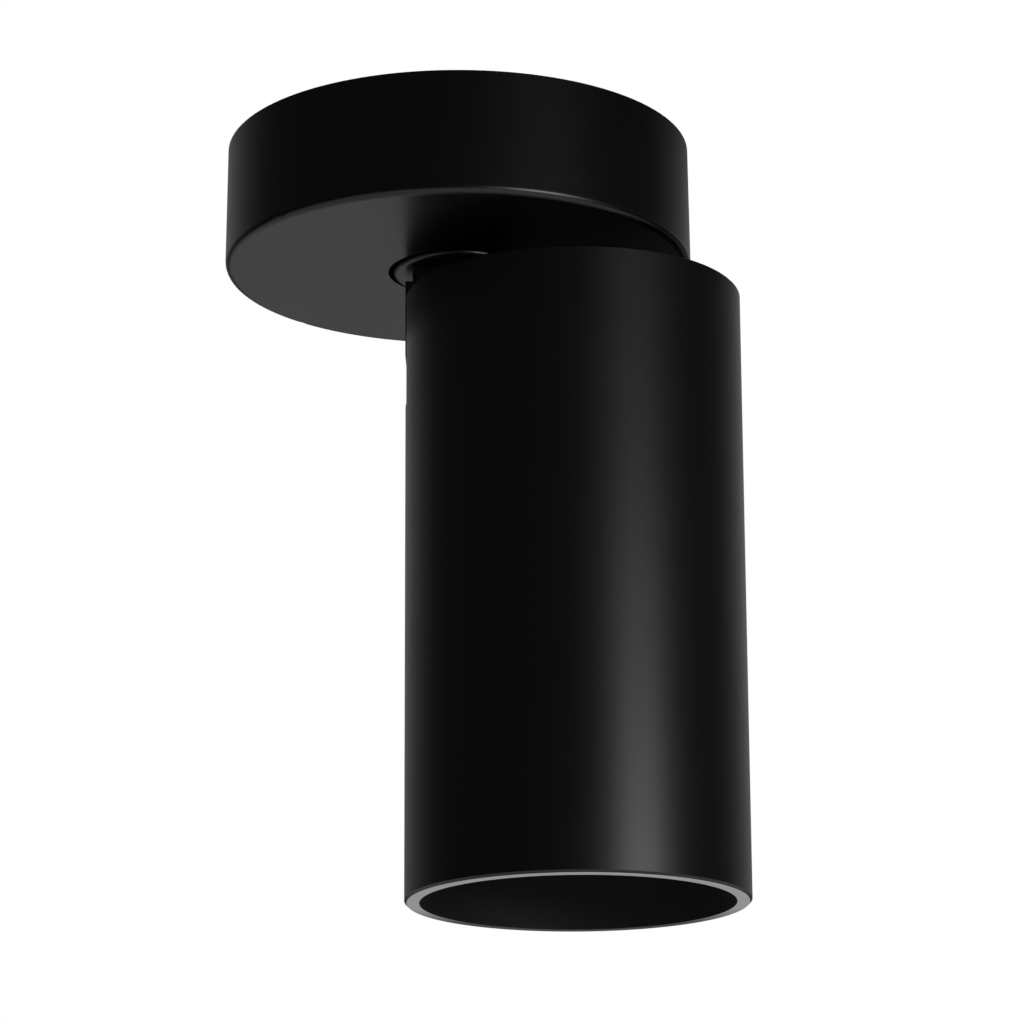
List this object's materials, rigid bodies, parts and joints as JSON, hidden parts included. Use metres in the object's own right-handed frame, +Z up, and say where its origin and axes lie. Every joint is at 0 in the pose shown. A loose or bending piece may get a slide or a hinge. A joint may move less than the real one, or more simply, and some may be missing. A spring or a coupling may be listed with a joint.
{
  "type": "surface mounted ceiling spotlight",
  "caption": "Ceiling spotlight: a round canopy, and a cylindrical head hung off centre on a joint that swivels and tilts, with a reflector lamp inside.",
  "frame": {"origin": "centre of the canopy's ceiling face, at the middle of the ceiling slots", "axes": "+Z up to the ceiling; +X from the canopy's axis towards the head; the picture looks along +Y"},
  "size_m": [0.0927, 0.084, 0.1376],
  "materials": {
    "black_lacquer": "satin black lacquer",
    "black_joint": "satin black lacquer",
    "zinc_steel": "zinc plated",
    "steel_screw": "plated",
    "block_plastic": "matt",
    "brass": "bright",
    "slip_plastic": "matt",
    "lead_sleeve": "matt",
    "black_rubber": "matt",
    "black_plastic": "matt black",
    "ceramic": "glazed ceramic",
    "lamp_aluminium": "satin",
    "lamp_plastic": "matt white",
    "lens": "frosted",
    "board": "white"
  },
  "bodies": {
    "ceiling_base": {"canopy": "black_lacquer", "mounting_bracket": "zinc_steel", "canopy_screws": "steel_screw", "terminal_block": "block_plastic", "terminal_screws": "brass", "earth_tag": "zinc_steel", "earth_screw": "steel_screw", "friction_washer": "slip_plastic", "disc_spring": "zinc_steel", "retaining_plate": "zinc_steel", "retaining_screws": "steel_screw", "canopy_lead": "lead_sleeve"},
    "swivel": {"swivel_knuckle": "black_joint", "stop_pin": "steel_screw", "knuckle_lead": "lead_sleeve"},
    "head": {"head_tube": "black_lacquer", "rear_cap": "black_joint", "cap_pillars": "steel_screw", "cap_screws": "steel_screw", "pillar_screws": "steel_screw", "clevis": "black_joint", "clevis_screws": "steel_screw", "tilt_axle": "steel_screw", "axle_nut": "steel_screw", "axle_washers": "steel_screw", "tilt_washers": "slip_plastic", "chassis_plate": "zinc_steel", "chassis_screws": "steel_screw", "lead_grommet": "black_rubber", "lampholder_bracket": "zinc_steel", "bracket_screws": "steel_screw", "lampholder": "ceramic", "lampholder_screws": "steel_screw", "lampholder_contacts": "brass", "centring_ring": "black_plastic", "head_lead": "lead_sleeve"},
    "lamp": {"lamp_shell": "lamp_aluminium", "lamp_base": "lamp_plastic", "lamp_pins": "brass", "lamp_lens": "lens", "light_board": "board"}
  },
  "joints": [
    {"name": "swivel_turn", "type": "hinge", "parent": "ceiling_base", "child": "swivel", "pos_m": [0, 0, -0.0224], "axis": [0, 0, 1], "range_deg": [-170, 170]},
    {"name": "head_tilt", "type": "hinge", "parent": "swivel", "child": "head", "pos_m": [0, 0, -0.0384], "axis": [0, 1, 0], "range_deg": [0, 90]},
    {"name": "lamp_release", "type": "slide", "parent": "head", "child": "lamp", "axis": [0, 0, -1], "range_m": [0, 0.08]}
  ]
}
